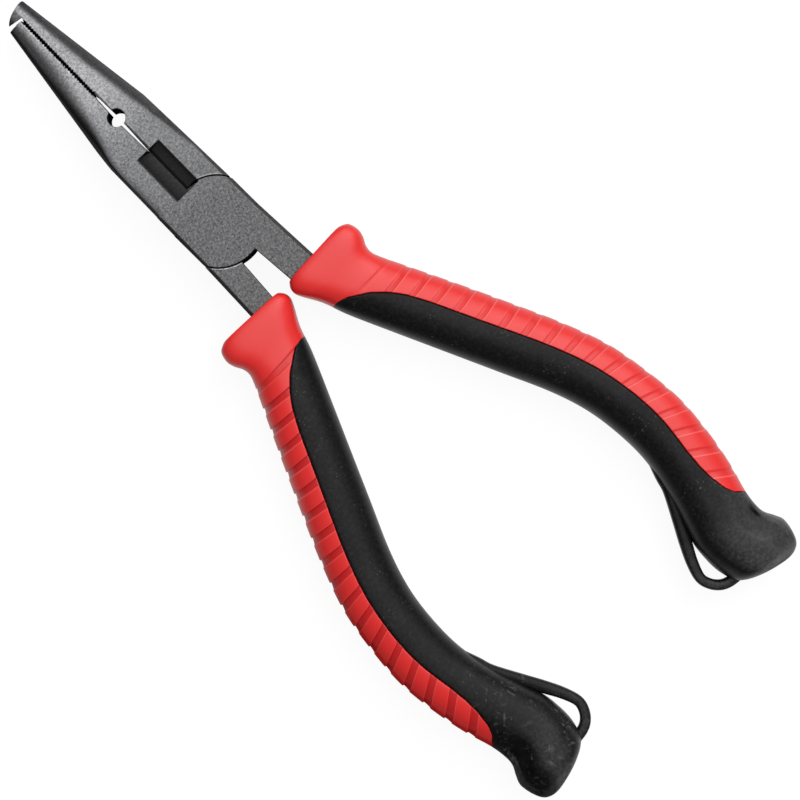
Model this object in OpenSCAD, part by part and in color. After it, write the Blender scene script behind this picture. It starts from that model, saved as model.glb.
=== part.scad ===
// Long-nose fishing pliers, closed and lying flat.
// The pivot axis is Z, the nose points along +Y, and Z = 0 is the flat back of the joint.
// Each half is one forging that crosses over at the joint: the front half has the left jaw and the
// right arm, the rear half has the hooked right jaw and the left arm.

/* [Joint] */
// Thickness of the joint, the jaws' roots and the arms
joint_t = 11; // [9:0.5:12]
// Width across the joint
joint_w = 15.6; // [14:0.2:16.6]
// How far each side of the joint would close in by the tip of the nose
joint_taper = 1.1; // [0:0.1:1.4]
// Radius of the round lap on each half
lap_r = 8.7; // [8.5:0.1:9.2]
// Gap between the two lap faces
lap_gap = 0.1; // [0.04:0.02:0.3]
// Gap between the rim of a lap and the shoulder round it
shoulder_gap = 0.3; // [0.2:0.05:0.5]
// Chamfer along the outer edges of the steel
edge_chamfer = 0.7; // [0.3:0.1:1.2]

/* [Rivet] */
// Radius of the rivet
rivet_r = 3; // [2:0.1:4]
// Radius of its countersunk ends
rivet_head_r = 4.2; // [4.1:0.1:5.5]
// Depth of its countersunk ends
rivet_head_t = 1.4; // [0.8:0.1:2.5]
// Running clearance round the rivet in the rear half
rivet_clearance = 0.05; // [0.02:0.01:0.1]

/* [Jaws] */
// Length of the nose from the pivot to its tip
nose_len = 56.7; // [54:0.1:66]
// How far the tip of the nose leans towards the hooked jaw
nose_lean = 1.1; // [0:0.1:1.5]
// Radius of the round nose at its tip
tip_r = 2.7; // [2:0.1:3.5]
// Radius that the round nose would have at the pivot
nose_root_r = 10.8; // [10.4:0.1:13]
// Thickness of the nose at its tip
tip_t = 4.8; // [3:0.1:6]
// Length over which the nose thins to its tip
nose_thinning = 28; // [20:1:34]
// Distance of the line on which the jaws close from the pivot, before the lean
closing_line = -0.1; // [-0.8:0.1:0.8]
// Gap between the closed jaws
jaw_gap = 0.04; // [0.02:0.01:0.2]
// Length of the toothed faces
teeth_len = 20; // [12:0.5:21]
// Pitch of the teeth
tooth_pitch = 0.65; // [0.5:0.05:1.5]
// Depth of the teeth
tooth_depth = 0.2; // [0.15:0.05:0.6]

/* [Split ring hook] */
// Depth of the hook along the nose
hook_t = 2.55; // [1.5:0.05:3]
// Reach of the hook past the closing line
hook_reach = 2.6; // [1.2:0.1:2.8]
// Slit between the root of the hook and the end of the other jaw
hook_slit = 0.4; // [0.3:0.05:1]
// Rise of the slit towards the toe of the hook
hook_rise = 0.5; // [0:0.05:0.6]
// Blunt edge on the toe of the hook
hook_toe = 0.15; // [0.1:0.05:0.5]
// Depth of the slit's notch in the hooked jaw
hook_notch = 0.3; // [0.3:0.1:1.2]
// Bevel of the hook's underside, which opens the slit towards the back, in degrees
hook_bevel = 11; // [0:1:15]

/* [Crimping hole and cutter] */
// Distance of the crimping hole from the pivot
crimp_y = 27.6; // [25:0.1:29]
// Radius of the crimping hole
crimp_r = 1.75; // [1:0.05:2.2]
// Gap between the relieved faces beside the crimping hole
relief_gap = 0.45; // [0.45:0.05:0.9]
// Distance of the near end of the cutter from the pivot
cutter_y = 8; // [7.6:0.1:8.3]
// Length of the cutter
cutter_len = 11; // [8:0.5:12]
// Width of the groove over the cutter, across both jaws
cutter_w = 5.8; // [4:0.1:7]
// Flat on each cutting edge
cutter_land = 0.5; // [0.3:0.1:1]

/* [Arms and tangs] */
// Distance of the handles from the pivot
arm_len = 16.9; // [15:0.5:24]
// Gap between the arms at the joint
arm_gap = 3.6; // [2.4:0.1:4.4]
// Gap between the arms at the handles
arm_gap_end = 5.3; // [3.6:0.1:5.4]
// Distance of the middle of that gap from the pivot
arm_gap_line = -0.45; // [-0.6:0.05:0.6]
// Width across both arms at the handles
arm_spread = 17; // [16:0.2:19]
// Depth of an arm's full section in its handle
socket_depth = 3.2; // [2:0.1:3.6]
// Thickness of the tang inside a handle
tang_t = 5.5; // [4:0.1:7]
// Width of the tang at the arm
tang_w = 5.6; // [4:0.1:6]
// Width of the tang at its end
tang_end_w = 4.2; // [3:0.1:5.5]
// Clearance between the steel and the handle
tang_clearance = 0.05; // [0.02:0.01:0.2]

/* [Handles] */
// Length of a handle from the front of its guard to its end
handle_len = 105.5; // [98:0.5:114]
// Width across both handles
handle_spread = 76.4; // [72:0.2:84]
// Width of a handle where the two are furthest apart
handle_w = 12.9; // [12:0.1:14.5]
// Thickness of the finger guard
guard_t = 15.2; // [14.6:0.2:18]
// Thickness of the handle along the grip
grip_t = 12.8; // [12:0.1:15]
// Thickness of the flared end
end_t = 15.2; // [13:0.2:18]
// Thickness of the soft grip over the hard core
soft_t = 1.9; // [1.2:0.1:2.2]
// Number of ribs on the back of a handle
rib_count = 18; // [10:1:18]
// Pitch of the ribs behind the guard
rib_pitch = 4.2; // [2.5:0.1:4.3]
// Growth of the pitch from each rib to the next
rib_growth = 0.06; // [0:0.01:0.07]
// Width of a rib
rib_w = 2.6; // [1:0.1:3]
// Height of the ribs
rib_h = 0.45; // [0.2:0.05:0.8]
// Slant of the ribs across the handle, in degrees
rib_slant = 22; // [0:1:30]

/* [Lanyard loops] */
// Thickness of a lanyard loop
loop_t = 3; // [2:0.1:4]
// Width of the strip round its eye
loop_w = 2.1; // [1.6:0.1:2.5]
// Clearance between the root of a loop and the grip
loop_clearance = 0.05; // [0.02:0.01:0.2]

/* [Hidden] */

steel = "#5a5c5f";
red = "#e04545";
black = "#262626";

half_w = joint_w / 2;
mid_z = joint_t / 2;
beyond = 1;
far = 60;

// Distances along the nose from the pivot
hook_y = nose_len - hook_t;
plain_tip_y = hook_y - hook_slit;
teeth_y = plain_tip_y - teeth_len;
cutter_end_y = cutter_y + cutter_len;
tooth_count = floor(teeth_len / tooth_pitch);

// Drawing of the right handle from the front of the guard to the end: outer edge x and y, inner edge
// x and y, thickness, and the share of the width that is hard core. Every y is from the guard's front.
drawn_rows = [
    [15.6, 0.0, 1.5, -0.6, guard_t - 2.2, 1.3],
    [17.2, -0.9, 0.7, -1.7, guard_t - 0.8, 1.3],
    [17.8, -2.8, 0.6, -2.9, guard_t, 1.3],
    [17.5, -4.5, 1.3, -4.5, guard_t - 0.4, 1.3],
    [16.7, -6.1, 2.3, -6.3, guard_t - 1.4, 1.3],
    [16.5, -7.6, 3.4, -8.6, grip_t + 0.4, 1.3],
    [17.1, -9.4, 4.9, -12.9, grip_t + 0.1, 0.68],
    [19.4, -14.2, 8.0, -20.0, grip_t, 0.44],
    [24.1, -24.1, 12.6, -30.3, grip_t, 0.40],
    [28.7, -34.1, 17.5, -41.3, grip_t, 0.40],
    [32.7, -43.2, 21.3, -49.8, grip_t, 0.40],
    [35.9, -52.2, 23.6, -56.4, grip_t, 0.41],
    [37.5, -61.0, 24.8, -62.3, grip_t, 0.42],
    [38.2, -69.5, 25.3, -69.3, grip_t, 0.43],
    [37.5, -77.5, 24.9, -75.0, grip_t, 0.46],
    [36.2, -84.5, 23.5, -81.3, grip_t + 0.2, 0.38],
    [34.5, -90.5, 21.6, -87.0, grip_t + 0.8, 0],
    [34.0, -94.0, 20.3, -91.0, end_t - 1.3, -0.3],
    [34.2, -96.0, 19.9, -94.5, end_t - 0.6, -0.3],
    [35.2, -98.0, 19.9, -97.2, end_t - 0.1, -0.3],
    [35.8, -99.8, 20.3, -99.4, end_t, -0.3],
    [35.3, -102.6, 21.0, -101.3, end_t - 0.7, -0.3],
    [34.2, -104.6, 22.6, -102.7, end_t - 2.8, -0.3],
    [32.2, -105.5, 25.0, -103.8, end_t - 6.5, -0.3],
];
oval_sides = 20;
oval_power = 2.5;
guard_power = 8;

// Drawing of the middle of the right lanyard loop's strip, x and y, and how much it widens there.
// Every y is from the guard's front, and both ends are inside the grip.
drawn_loop = [
    [25.0, -77.4, 0], [24.1, -80.3, 0], [21.6, -85.2, 0.1], [19.6, -89.2, 0.4], [17.7, -92.9, 0.2],
    [16.6, -96.2, 0], [17.1, -98.4, 0], [18.4, -100, 0], [20.1, -100.8, 0], [22.4, -101.1, 0],
];

// The drawings are stretched to the handle's length, and lean out to its spread as far as the
// station where the handles are furthest apart.
widest = drawn_rows[13];
drawn_end = drawn_rows[len(drawn_rows) - 1];
outer_lean = handle_spread / 2 - widest[0];
inner_lean = handle_spread / 2 - handle_w - widest[2];
function placed(x, y, lean) = [x + lean * min(1, y / widest[1]), y * handle_len / -drawn_end[1]];
handle_rows = [for (s = drawn_rows) concat(
    placed(s[0], s[1], outer_lean), placed(s[2], s[3], inner_lean), [s[4], s[5]]
)];
loop_path = [for (s = drawn_loop) concat(placed(s.x, s.y, inner_lean), [s.z])];

// Stations of each piece, counted in rows
function steps(first, last, step) = [for (t = [first : step : last]) t];
guard_rows = steps(0, 6, 1);
back_rows = steps(6.5, 16, 0.5);
end_rows = steps(17, len(handle_rows) - 1, 1);
shaft_rows = concat(guard_rows, back_rows, [end_rows[0]]);
grip_rows = concat([5, 6], back_rows, end_rows);
core_rows = steps(4, 17, 1);
split_rows = steps(5.125, 17, 0.25);
tang_rows = steps(6, 14, 0.5);

// The guard ends at this y from its front. The middle of the first rib is this far along the back,
// and the ribs cross it as far as this.
guard_end_y = -10.7;
rib_first = 1.7;
rib_span = 9;
function rib_place(i) = rib_first + i * rib_pitch + i * i * rib_growth / 2;

function smooth(a, b, c, d, u) =
    b + 0.5 * ((c - a) * u + (2 * a - 5 * b + 4 * c - d) * u * u + (3 * b - a - 3 * c + d) * u * u * u);
function held(list, i) = list[min(max(i, 0), len(list) - 1)];
function along(list, t) =
    let (i = floor(t)) smooth(held(list, i - 1), held(list, i), held(list, i + 1), held(list, i + 2), t - i);
function curve(list, steps) = [for (k = [0 : (len(list) - 1) * steps]) along(list, k / steps)];
function bow(a, b, c, steps) =
    [for (k = [0 : steps]) let (u = k / steps) a * (1 - u) * (1 - u) + b * 2 * u * (1 - u) + c * u * u];
function reversed(list) = [for (i = [len(list) - 1 : -1 : 0]) list[i]];
function heading(path, i) = let (d = held(path, i + 1) - held(path, i - 1)) d / norm(d);

function outer_point(t) = let (s = along(handle_rows, t)) [s[0], s[1] - arm_len];
function inner_point(t) = let (s = along(handle_rows, t)) [s[2], s[3] - arm_len];
function across(t, share) = outer_point(t) + share * (inner_point(t) - outer_point(t));
function rounded(v, power) = sign(v) * pow(abs(v), 2 / power);
function oval(a, b, power) = [for (k = [1 : oval_sides])
    let (w = 360 * k / oval_sides) [a * rounded(cos(w), power), b * rounded(sin(w), power)]];

// The section is squarest at the front of the guard, where it covers the arm.
function squareness(t) = oval_power + (guard_power - oval_power) * pow(max(0, 1 - t / 6), 2);

// Triangles between successive rings, closed by a face at each end
function skin(rings) = let (n = oval_sides, last = (rings - 1) * n) concat(
    [[for (k = [0 : n - 1]) k]],
    [for (i = [0 : n : last - n], k = [0 : n - 1]) [i + k, i + n + (k + 1) % n, i + (k + 1) % n]],
    [for (i = [0 : n : last - n], k = [0 : n - 1]) [i + k, i + n + k, i + n + (k + 1) % n]],
    [[for (k = [n - 1 : -1 : 0]) last + k]]
);

// Points round the handle at a station, sunk below its surface by an inset
function ring(t, inset) = let (
    width = outer_point(t) - inner_point(t), middle = across(t, 0.5), d = width / norm(width),
    thickness = along(handle_rows, t)[4]
) [for (p = oval(norm(width) / 2 - inset, thickness / 2 - inset, squareness(t)))
    [middle.x + d.x * p.x, middle.y + d.y * p.x, mid_z + p.y]];

// Table of the distance along the back of the handle and the station there
function back_length(i) =
    i == 0 ? 0 : back_length(i - 1) + norm(outer_point(back_rows[i]) - outer_point(back_rows[i - 1]));
back_table = [for (i = [0 : len(back_rows) - 1]) [back_length(i), back_rows[i]]];

// Forgings. A half is drawn with its jaw on the left, its arm on the right and its lap on top.
// Its closing line leans to the side given as 1 or -1.
lean_angle = atan(nose_lean / nose_len);
function line_x(side, y) = side * (closing_line + nose_lean * y / nose_len);
function beside(side, y, back) = [line_x(side, y) - back, y];
function side_x(y) = joint_taper * y / nose_len - half_w;

// A peak of the teeth on one jaw faces a peak on the other.
function jaw_face(side) = let (half_gap = jaw_gap / 2, relief = relief_gap / 2) concat(
    [beside(side, 0, half_gap), beside(side, cutter_end_y + beyond, half_gap)],
    [beside(side, crimp_y - crimp_r, relief), beside(side, crimp_y + crimp_r, relief)],
    [beside(side, teeth_y - tooth_pitch / 2, half_gap)],
    [for (i = [0 : tooth_count - 1], k = [0, 1])
        beside(side, teeth_y + (i + k / 2) * tooth_pitch, half_gap + k * tooth_depth)],
    [beside(side, plain_tip_y, half_gap)]
);

function hook(side) = let (
    line = line_x(side, hook_y), toe = [line + hook_reach, hook_y + hook_rise],
    end = [line - hook_reach, nose_len], crown = [line + 0.6 * hook_reach, nose_len - hook_t / 4]
) concat(
    [[line - hook_notch, plain_tip_y], [line - hook_notch, hook_y], toe],
    bow(toe + [0, hook_toe], crown, end, 8)
);

// Wedge off the underside of the hook, from nothing at the front of the nose
module hook_wedge(side) {
    front = mid_z - tip_t / 2;
    below = -hook_slit / 2;
    translate([line_x(side, hook_y) - hook_notch, hook_y, front])
        rotate([0, 0, atan2(hook_rise, hook_reach + hook_notch)])
        rotate([90, 0, 90]) linear_extrude(2 * hook_reach)
            polygon([[0, 0], [joint_t * tan(hook_bevel), joint_t], [below, joint_t], [below, 0]]);
}

module jaw(side, hooked) {
    end = hooked ? hook(side) : [];
    tip_y = hooked ? nose_len : plain_tip_y + 2 * hook_rise;
    intersection() {
        linear_extrude(joint_t)
            polygon(concat([[side_x(0), 0]], jaw_face(side), end, [[side_x(tip_y), tip_y]]));
        translate([line_x(side, 0), 0, mid_z]) rotate([0, 0, -side * lean_angle]) rotate([-90, 0, 0])
            cylinder(h = nose_len, r1 = nose_root_r, r2 = tip_r, $fn = 96);
        nose_flats();
    }
}

// Flat faces of the nose, which close in towards the tip
module nose_flats() {
    thin_y = nose_len - nose_thinning;
    rotate([90, 0, 90]) linear_extrude(far, center = true)
        polygon([
            [0, 0], [thin_y, 0], [nose_len, mid_z - tip_t / 2],
            [nose_len, mid_z + tip_t / 2], [thin_y, joint_t], [0, joint_t],
        ]);
}

module lap_outline(side) difference() {
    intersection() {
        circle(r = lap_r, $fn = 96);
        square([joint_w, far], center = true);
    }
    translate([line_x(side, cutter_y) - cutter_w / 2, cutter_y]) square([cutter_w, far]);
}

arm_end_y = -arm_len - socket_depth;
arm_bend = [half_w, -lap_r / 3];
arm_outer_end = [arm_spread / 2, arm_end_y];

// The inner edge of the arm starts from the middle of the gap, at x = gap_line.
module arm_outline(gap_line) polygon([
    [half_w, 0], arm_bend, arm_outer_end, [gap_line + arm_gap_end / 2, arm_end_y],
    [gap_line + arm_gap / 2, shoulder_gap - lap_r], [gap_line + arm_gap / 2, 0],
]);

// Tang along the middle of the handle, thinner than the arm
module tang(grow = 0) {
    middle = [for (t = tang_rows) across(t, 0.5)];
    last = len(middle) - 1;
    path = concat(
        [[(arm_gap_end + arm_spread) / 4, arm_end_y + 2 * beyond]],
        [for (i = [0 : last - 1]) middle[i]],
        [middle[last] + grow * heading(middle, last)]
    );
    sides = [for (side = [1, -1]) [for (i = [0 : last + 1])
        let (w = tang_w + (tang_end_w - tang_w) * i / (last + 1), d = heading(path, i))
        path[i] + side * (w / 2 + grow) * [-d.y, d.x]]];
    translate([0, 0, mid_z - tang_t / 2 - grow]) linear_extrude(tang_t + 2 * grow)
        polygon(concat(sides[0], reversed(sides[1])));
}

// Chamfer along a straight edge of the outline, on both faces. The steel is on the right of a to b.
module edge_break(a, b) {
    d = b - a;
    out = edge_chamfer + beyond;
    for (up = [-1, 1]) translate([a.x, a.y, mid_z + up * mid_z]) rotate([0, 0, atan2(d.y, d.x)])
        rotate([90, 0, 90]) linear_extrude(norm(d))
            polygon([[beyond, -up * out], [beyond, up * beyond], [-out, up * beyond]]);
}

// Groove down to the cutting edge from each face
module cutter_grooves(side) translate([line_x(side, cutter_end_y), cutter_end_y, mid_z])
    rotate([0, 0, -side * lean_angle]) rotate([90, 0, 0]) linear_extrude(cutter_len) for (face = [-1, 1])
        polygon([
            [-cutter_w / 2, face * mid_z], [0, face * cutter_land / 2],
            [beyond, face * cutter_land / 2], [beyond, face * (mid_z + beyond)],
            [-cutter_w / 2, face * (mid_z + beyond)],
        ]);

module half(side, hooked) difference() {
    union() {
        difference() {
            jaw(side, hooked);
            if (hooked) hook_wedge(side);
        }
        linear_extrude(joint_t) lap_outline(side);
        linear_extrude(joint_t) arm_outline(side * arm_gap_line);
        tang();
    }
    translate([0, 0, -beyond])
        cylinder(h = beyond + mid_z + lap_gap / 2, r = lap_r + shoulder_gap, $fn = 96);
    cutter_grooves(side);
    translate([line_x(side, crimp_y), crimp_y, -beyond])
        cylinder(h = joint_t + 2 * beyond, r = crimp_r, $fn = 64);
    edge_break([side_x(-lap_r), -lap_r], [side_x(nose_len), nose_len]);
    edge_break([half_w, lap_r], arm_bend);
    edge_break(arm_bend, arm_outer_end);
}

// Turned over about the nose, the drawing becomes the rear half.
module turn_over() translate([0, 0, joint_t]) rotate([0, 180, 0]) children();

// Rivet with countersunk ends, flush with both faces
module rivet(grow = 0) {
    cylinder(h = joint_t, r = rivet_r + grow, $fn = 64);
    cylinder(h = rivet_head_t, r1 = rivet_head_r + grow, r2 = rivet_r + grow, $fn = 64);
    turn_over() cylinder(h = rivet_head_t, r1 = rivet_head_r + grow, r2 = rivet_r + grow, $fn = 64);
}

module front_half() color(steel) difference() {
    half(1, false);
    rivet();
}

module rear_half() color(steel) difference() {
    turn_over() half(-1, true);
    rivet(rivet_clearance);
}

module pivot_rivet() color(steel) rivet();

// Handles, drawn for the right side

module handle_body(rows, inset = 0)
    polyhedron(points = [for (t = rows, p = ring(t, inset)) p], faces = skin(len(rows)), convexity = 8);

// Everything on the hard side of the line where the soft grip begins
module hard_side() {
    split = [for (t = split_rows) across(t, along(handle_rows, t)[5])];
    linear_extrude(far, center = true)
        polygon(concat(split, [[far, split[len(split) - 1].y], [far, 0], [-far, 0], [-far, split[0].y]]));
}

// The guard and the ribs, which stand proud of the rest of the back
module raised_side() linear_extrude(far, center = true) {
    translate([-far, guard_end_y - arm_len]) square([2 * far, far]);
    for (i = [0 : rib_count - 1]) {
        t = lookup(rib_place(i), back_table);
        d = inner_point(t) - outer_point(t);
        translate(outer_point(t)) rotate(atan2(d.y, d.x) - rib_slant) hull() {
            translate([-beyond - rib_w, 0]) circle(d = rib_w);
            translate([rib_span, 0]) circle(d = rib_w);
        }
    }
}

module hard_core() {
    intersection() {
        handle_body(shaft_rows);
        hard_side();
        raised_side();
    }
    intersection() {
        handle_body(shaft_rows, rib_h);
        hard_side();
    }
    handle_body(core_rows, soft_t);
}

module core(gap_line) color(red) difference() {
    hard_core();
    tang(tang_clearance);
    translate([0, 0, -tang_clearance]) linear_extrude(joint_t + 2 * tang_clearance)
        offset(delta = tang_clearance) arm_outline(gap_line);
}

module grip() color(black) difference() {
    handle_body(grip_rows);
    hard_side();
    handle_body(core_rows, soft_t);
    loop(loop_clearance);
}

module loop(grow = 0) {
    strip = curve(loop_path, 3);
    translate([0, -arm_len, mid_z]) linear_extrude(loop_t + 2 * grow, center = true)
        for (i = [0 : len(strip) - 2]) hull() for (p = [strip[i], strip[i + 1]])
            translate([p.x, p.y]) circle(d = loop_w + p.z + 2 * grow, $fn = 24);
}

module lanyard_loop() color(black) loop();

module left() mirror([1, 0, 0]) children();

module right_core() core(arm_gap_line);
module right_grip() grip();
module right_lanyard_loop() lanyard_loop();
module left_core() left() core(-arm_gap_line);
module left_grip() left() grip();
module left_lanyard_loop() left() lanyard_loop();

front_half();
rear_half();
pivot_rivet();
right_core();
right_grip();
right_lanyard_loop();
left_core();
left_grip();
left_lanyard_loop();
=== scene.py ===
# Fishing pliers: finished pieces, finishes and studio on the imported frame
import bpy
from math import atan2, cos, exp, floor, pi, radians, sin, sqrt, tan
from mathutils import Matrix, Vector


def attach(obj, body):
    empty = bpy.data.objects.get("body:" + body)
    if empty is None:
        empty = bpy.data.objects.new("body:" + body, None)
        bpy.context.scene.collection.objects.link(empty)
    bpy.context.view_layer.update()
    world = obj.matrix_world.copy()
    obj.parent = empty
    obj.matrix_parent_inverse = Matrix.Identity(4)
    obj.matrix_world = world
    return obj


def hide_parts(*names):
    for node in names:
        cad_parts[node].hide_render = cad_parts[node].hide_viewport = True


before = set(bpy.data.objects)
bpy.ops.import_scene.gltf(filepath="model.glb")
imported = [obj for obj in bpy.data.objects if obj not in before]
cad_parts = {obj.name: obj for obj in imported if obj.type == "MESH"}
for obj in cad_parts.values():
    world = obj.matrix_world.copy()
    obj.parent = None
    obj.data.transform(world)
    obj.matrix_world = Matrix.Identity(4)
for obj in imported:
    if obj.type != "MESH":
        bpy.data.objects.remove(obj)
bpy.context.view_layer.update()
mm = 0.001
midZ = 5.5  # middle of the pliers' thickness, mm
nodeWeld, meshWeld = 0.000001, 0.000002  # points closer than this are merged, m


def smoothStep(low, high, value):
    share = min(1, max(0, (value - low) / (high - low)))
    return share * share * (3 - 2 * share)


def swell(value, middle, half):
    return exp(-((value - middle) / half) ** 2)


def splineAt(rows, t):
    # smooth curve through rows of numbers, where t counts the rows
    i = floor(t)
    u = t - i
    a, b, c, d = (rows[min(max(k, 0), len(rows) - 1)] for k in (i - 1, i, i + 1, i + 2))
    return [q + 0.5 * ((r - p) * u + (2 * p - 5 * q + 4 * r - s) * u * u + (3 * q - p - 3 * r + s) * u ** 3)
            for p, q, r, s in zip(a, b, c, d)]


def clearSelection():
    if bpy.context.mode != "OBJECT":
        bpy.ops.object.mode_set(mode="OBJECT")
    bpy.ops.object.select_all(action="DESELECT")


def activate(piece):
    clearSelection()
    piece.select_set(True)
    bpy.context.view_layer.objects.active = piece


def edit(piece):
    activate(piece)
    bpy.ops.object.mode_set(mode="EDIT")
    bpy.ops.mesh.select_all(action="SELECT")


def applyModifier(piece, kind, **settings):
    activate(piece)
    modifier = piece.modifiers.new(kind.lower(), kind)
    for key, value in settings.items():
        setattr(modifier, key, value)
    bpy.ops.object.modifier_apply(modifier=modifier.name)


def smoothByAngle(piece, degrees):
    activate(piece)
    bpy.ops.object.shade_smooth_by_angle(angle=radians(degrees))


def wrap(name, rings, shades=None, attribute="groove"):
    # a grid of faces laid on the rings, its seam and ends closed
    clearSelection()
    columns, rows = len(rings[0]), len(rings)
    bpy.ops.mesh.primitive_grid_add(x_subdivisions=columns, y_subdivisions=rows - 1, size=1)
    piece = bpy.context.object
    piece.name = name
    mesh = piece.data
    if shades:
        shade = mesh.attributes.new(attribute, "FLOAT", "POINT")
    for i in range(rows):
        for j in range(columns + 1):
            index = i * (columns + 1) + j
            mesh.vertices[index].co = rings[i][j % columns] * mm
            if shades:
                shade.data[index].value = shades[i][j % columns]
    edit(piece)
    bpy.ops.mesh.remove_doubles(threshold=meshWeld)
    bpy.ops.mesh.select_all(action="DESELECT")
    bpy.ops.mesh.select_non_manifold(extend=False, use_wire=False, use_boundary=True, use_multi_face=False,
                                     use_non_contiguous=False, use_verts=False)
    bpy.ops.mesh.edge_face_add()
    bpy.ops.mesh.select_all(action="SELECT")
    bpy.ops.mesh.normals_make_consistent(inside=False)
    bpy.ops.object.mode_set(mode="OBJECT")
    return piece


def settle(piece, body, slot, finish, *nodes):
    piece.data.materials.clear()
    piece.data.materials.append(finish.material)
    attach(piece, body)
    if nodes:
        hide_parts(*nodes)


# Shader sums: a field is a socket that takes part in Python expressions

class Field:
    def __init__(self, finish, socket):
        self.finish = finish
        self.socket = socket

    def sum(self, operation, other, swapped=False):
        first, second = (other, self) if swapped else (self, other)
        return self.finish.add("ShaderNodeMath", {"operation": operation}, {0: first, 1: second})

    def __add__(self, other):
        return self.sum("ADD", other)

    def __radd__(self, other):
        return self.sum("ADD", other, True)

    def __sub__(self, other):
        return self.sum("SUBTRACT", other)

    def __rsub__(self, other):
        return self.sum("SUBTRACT", other, True)

    def __mul__(self, other):
        return self.sum("MULTIPLY", other)

    def __rmul__(self, other):
        return self.sum("MULTIPLY", other, True)

    def __pow__(self, other):
        return self.sum("POWER", other)

    def __gt__(self, other):
        return self.sum("GREATER_THAN", other)


class Finish:
    def __init__(self, material):
        self.material = material
        material.use_nodes = True
        self.tree = material.node_tree
        self.shader = self.tree.nodes.get("Principled BSDF")

    def add(self, kind, settings=None, sockets=None, output=0):
        node = self.tree.nodes.new(kind)
        for key, value in (settings or {}).items():
            if key == "stops":
                ramp = node.color_ramp
                while len(ramp.elements) < len(value):
                    ramp.elements.new(0.5)
                for element, (place, shade) in zip(ramp.elements, value):
                    element.position = place
                    element.color = (shade, shade, shade, 1)
            else:
                setattr(node, key, value)
        for key, value in (sockets or {}).items():
            self.feed(node.inputs[key], value)
        return Field(self, node.outputs[output])

    def feed(self, socket, value):
        if isinstance(value, Field):
            self.tree.links.new(value.socket, socket)
        else:
            socket.default_value = value

    def set(self, **sockets):
        for key, value in sockets.items():
            self.feed(self.shader.inputs[key.replace("_", " ")], value)

    def show(self, shader):
        self.feed(self.tree.nodes["Material Output"].inputs["Surface"], shader)

    def axes(self, vector):
        parts = self.add("ShaderNodeSeparateXYZ", {}, {0: vector}).socket.node
        return [Field(self, output) for output in parts.outputs]

    def place(self):
        return self.add("ShaderNodeTexCoord", output="Object")

    def noise(self, scale, detail=2.0, roughness=0.5, where=None):
        return self.add("ShaderNodeTexNoise", {}, {
            "Vector": where or self.place(), "Scale": scale, "Detail": detail, "Roughness": roughness})

    def levelness(self):
        # 1 on a face that lies level, 0 on an upright one
        return self.size(self.axes(self.add("ShaderNodeNewGeometry", output="Normal"))[2])

    def attribute(self, name):
        return self.add("ShaderNodeAttribute", {"attribute_name": name}, {}, "Fac")

    def scaled(self, value, pair):
        # value times the first of a pair, plus the second
        return value * pair[0] + pair[1]

    def centred(self, value, scale):
        # 0.5 where the value is 0, to read a ramp to both sides
        return value * scale + 0.5

    def size(self, value):
        return self.add("ShaderNodeMath", {"operation": "ABSOLUTE"}, {0: value})

    def ramp(self, value, stops):
        return self.add("ShaderNodeValToRGB", {"stops": stops}, {"Fac": value})

    def mix(self, amount, first, second, blend="MIX"):
        return self.add("ShaderNodeMix", {"data_type": "RGBA", "blend_type": blend, "clamp_factor": True},
                        {0: amount, 6: first, 7: second}, 2)

    def bump(self, height, strength, distance, normal=None):
        sockets = {"Height": height, "Strength": strength, "Distance": distance}
        if normal:
            sockets["Normal"] = normal
        return self.add("ShaderNodeBump", {}, sockets)

    def addDull(self, amount, colour, roughness, gloss, normal):
        # a second, duller shader, mixed in by amount
        dull = self.add("ShaderNodeBsdfPrincipled", {}, {
            "Base Color": colour, "Roughness": roughness, "Specular IOR Level": gloss, "Normal": normal}, "BSDF")
        glossy = Field(self, self.shader.outputs["BSDF"])
        self.show(self.add("ShaderNodeMixShader", {}, {0: amount, 1: glossy, 2: dull}))


def rgb(red, green, blue):
    # screen values 0 to 255 to the renderer's linear colour
    def linear(value):
        share = value / 255
        return share / 12.92 if share <= 0.04045 else ((share + 0.055) / 1.055) ** 2.4
    return (linear(red), linear(green), linear(blue), 1)


# Finishes. A bump is strength and distance, roughness is factor and start, dull is roughness and gloss.

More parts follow.
